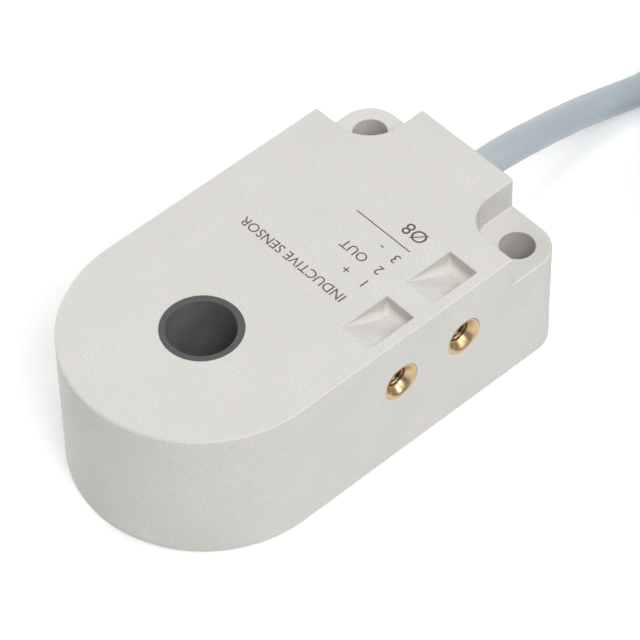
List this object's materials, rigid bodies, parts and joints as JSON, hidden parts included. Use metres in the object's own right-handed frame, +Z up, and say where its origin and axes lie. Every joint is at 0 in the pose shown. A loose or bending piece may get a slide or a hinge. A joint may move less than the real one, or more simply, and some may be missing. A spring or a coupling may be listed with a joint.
{
  "type": "inductive ring proximity sensor",
  "caption": "Ring-type inductive proximity sensor: flat plastic block with a rounded sensing end around a lined bore, recessed screw ears, brass side inserts and a fixed cable.",
  "frame": {"origin": "centre of the housing's length and width, on its underside; the free cable and what is on it are left out", "axes": "+Z up out of the top face along the bore, +Y from the round sensing end to the cable end, +X out of the side with the inserts"},
  "size_m": [0.0729, 0.1427, 0.02],
  "materials": {
    "housing_plastic": "fine-grained light warm grey moulding, satin",
    "sleeve_plastic": "dark grey moulded plastic, satin",
    "cover_plastic": "light grey moulding, fine grain",
    "insert_brass": "bright turned brass, knurled rim",
    "potting_resin": "cast resin, dark, smooth",
    "bobbin_plastic": "natural moulding",
    "copper_wire": "enamelled copper",
    "ferrite": "sintered ferrite, dull",
    "board_laminate": "green solder mask",
    "chip_plastic": "black moulding compound",
    "resistor_ceramic": "glazed ceramic",
    "capacitor_ceramic": "ceramic",
    "can_aluminium": "drawn can",
    "diode_glass": "glass body with tinned ends",
    "grommet_rubber": "soft moulded, dull",
    "clamp_steel": "crimped sleeve",
    "cable_jacket": "blue-grey PVC, satin",
    "brown_insulation": "brown PVC",
    "black_insulation": "black PVC",
    "blue_insulation": "blue PVC",
    "tinned_copper": "tinned strands",
    "tie_nylon": "natural nylon",
    "print_ink": "pad-printed dark ink"
  },
  "bodies": {
    "root": {"housing_shell": "housing_plastic", "bore_sleeve": "sleeve_plastic", "base_cover": "cover_plastic", "potting_resin": "potting_resin", "insert_front": "insert_brass", "insert_rear": "insert_brass", "coil_bobbin": "bobbin_plastic", "coil_winding": "copper_wire", "ferrite_ring": "ferrite", "coil_lead_start": "copper_wire", "coil_lead_finish": "copper_wire", "circuit_board": "board_laminate", "oscillator_chip": "chip_plastic", "output_transistor": "chip_plastic", "resonance_capacitor": "capacitor_ceramic", "supply_capacitor": "can_aluminium", "protection_diode": "diode_glass", "resistor_1": "resistor_ceramic", "resistor_2": "resistor_ceramic", "resistor_3": "resistor_ceramic", "cable_grommet": "grommet_rubber", "cable_clamp": "clamp_steel", "cable_lead": "cable_jacket", "cable_coil": "cable_jacket", "cable_tail": "cable_jacket", "cable_tie_1": "tie_nylon", "cable_tie_2": "tie_nylon", "inner_wire_brown": "brown_insulation", "inner_wire_black": "black_insulation", "inner_wire_blue": "blue_insulation", "free_wire_brown": "brown_insulation", "free_wire_black": "black_insulation", "free_wire_blue": "blue_insulation", "wire_tip_brown": "tinned_copper", "wire_tip_black": "tinned_copper", "wire_tip_blue": "tinned_copper"}
  },
  "joints": []
}
